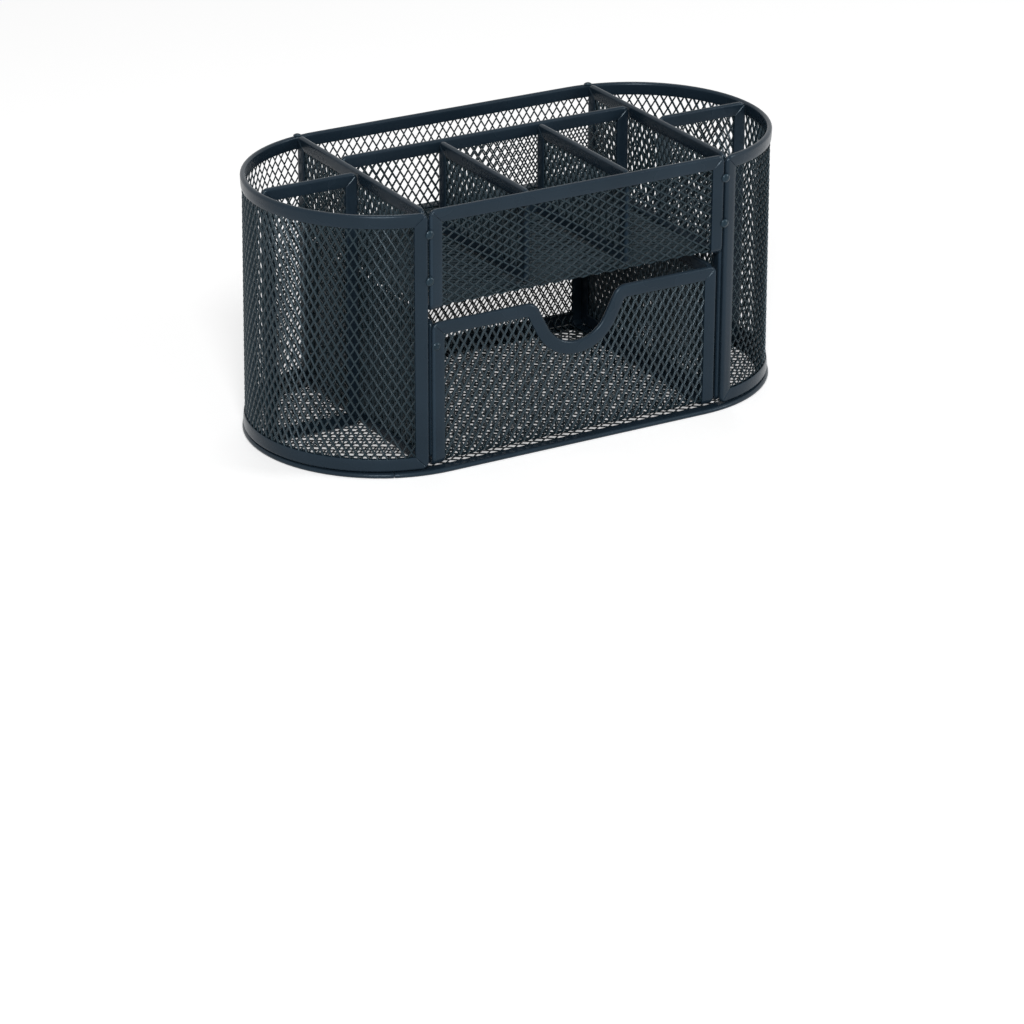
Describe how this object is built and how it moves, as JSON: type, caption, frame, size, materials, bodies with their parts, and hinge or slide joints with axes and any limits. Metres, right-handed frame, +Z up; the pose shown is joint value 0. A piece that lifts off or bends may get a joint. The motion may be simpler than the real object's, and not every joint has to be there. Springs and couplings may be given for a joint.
{
  "type": "pen stand with drawer",
  "caption": "Desk organizer of expanded metal mesh with round-ended pen bays, a divided shelf and a pull-out drawer with a finger dip.",
  "frame": {"origin": "bottom centre of the box, under the middle of the floor", "axes": "+X along the length to the right as seen from the front, +Y from front to back, +Z up"},
  "size_m": [0.2228, 0.1088, 0.1051],
  "materials": {
    "binding": "satin",
    "mesh": "satin",
    "weld": "satin"
  },
  "bodies": {
    "housing": {"floor_binding": "binding", "floor_mesh": "mesh", "outer_wall_binding": "binding", "outer_wall_mesh": "mesh", "left_divider_binding": "binding", "left_divider_mesh": "mesh", "right_divider_binding": "binding", "right_divider_mesh": "mesh", "left_end_divider_binding": "binding", "left_end_divider_mesh": "mesh", "right_end_divider_binding": "binding", "right_end_divider_mesh": "mesh", "shelf_binding": "binding", "shelf_mesh": "mesh", "front_panel_mesh": "mesh", "long_divider_binding": "binding", "long_divider_mesh": "mesh", "left_cross_divider_binding": "binding", "left_cross_divider_mesh": "mesh", "right_cross_divider_binding": "binding", "right_cross_divider_mesh": "mesh", "housing_welds": "weld"},
    "drawer": {"drawer_binding": "binding", "drawer_floor_mesh": "mesh", "drawer_front_mesh": "mesh", "drawer_back_mesh": "mesh", "drawer_left_side_binding": "binding", "drawer_left_side_mesh": "mesh", "drawer_right_side_binding": "binding", "drawer_right_side_mesh": "mesh", "drawer_welds": "weld"}
  },
  "joints": [
    {"name": "drawer_slide", "type": "slide", "parent": "housing", "child": "drawer", "axis": [0, -1, 0], "range_m": [0, 0.105]}
  ]
}
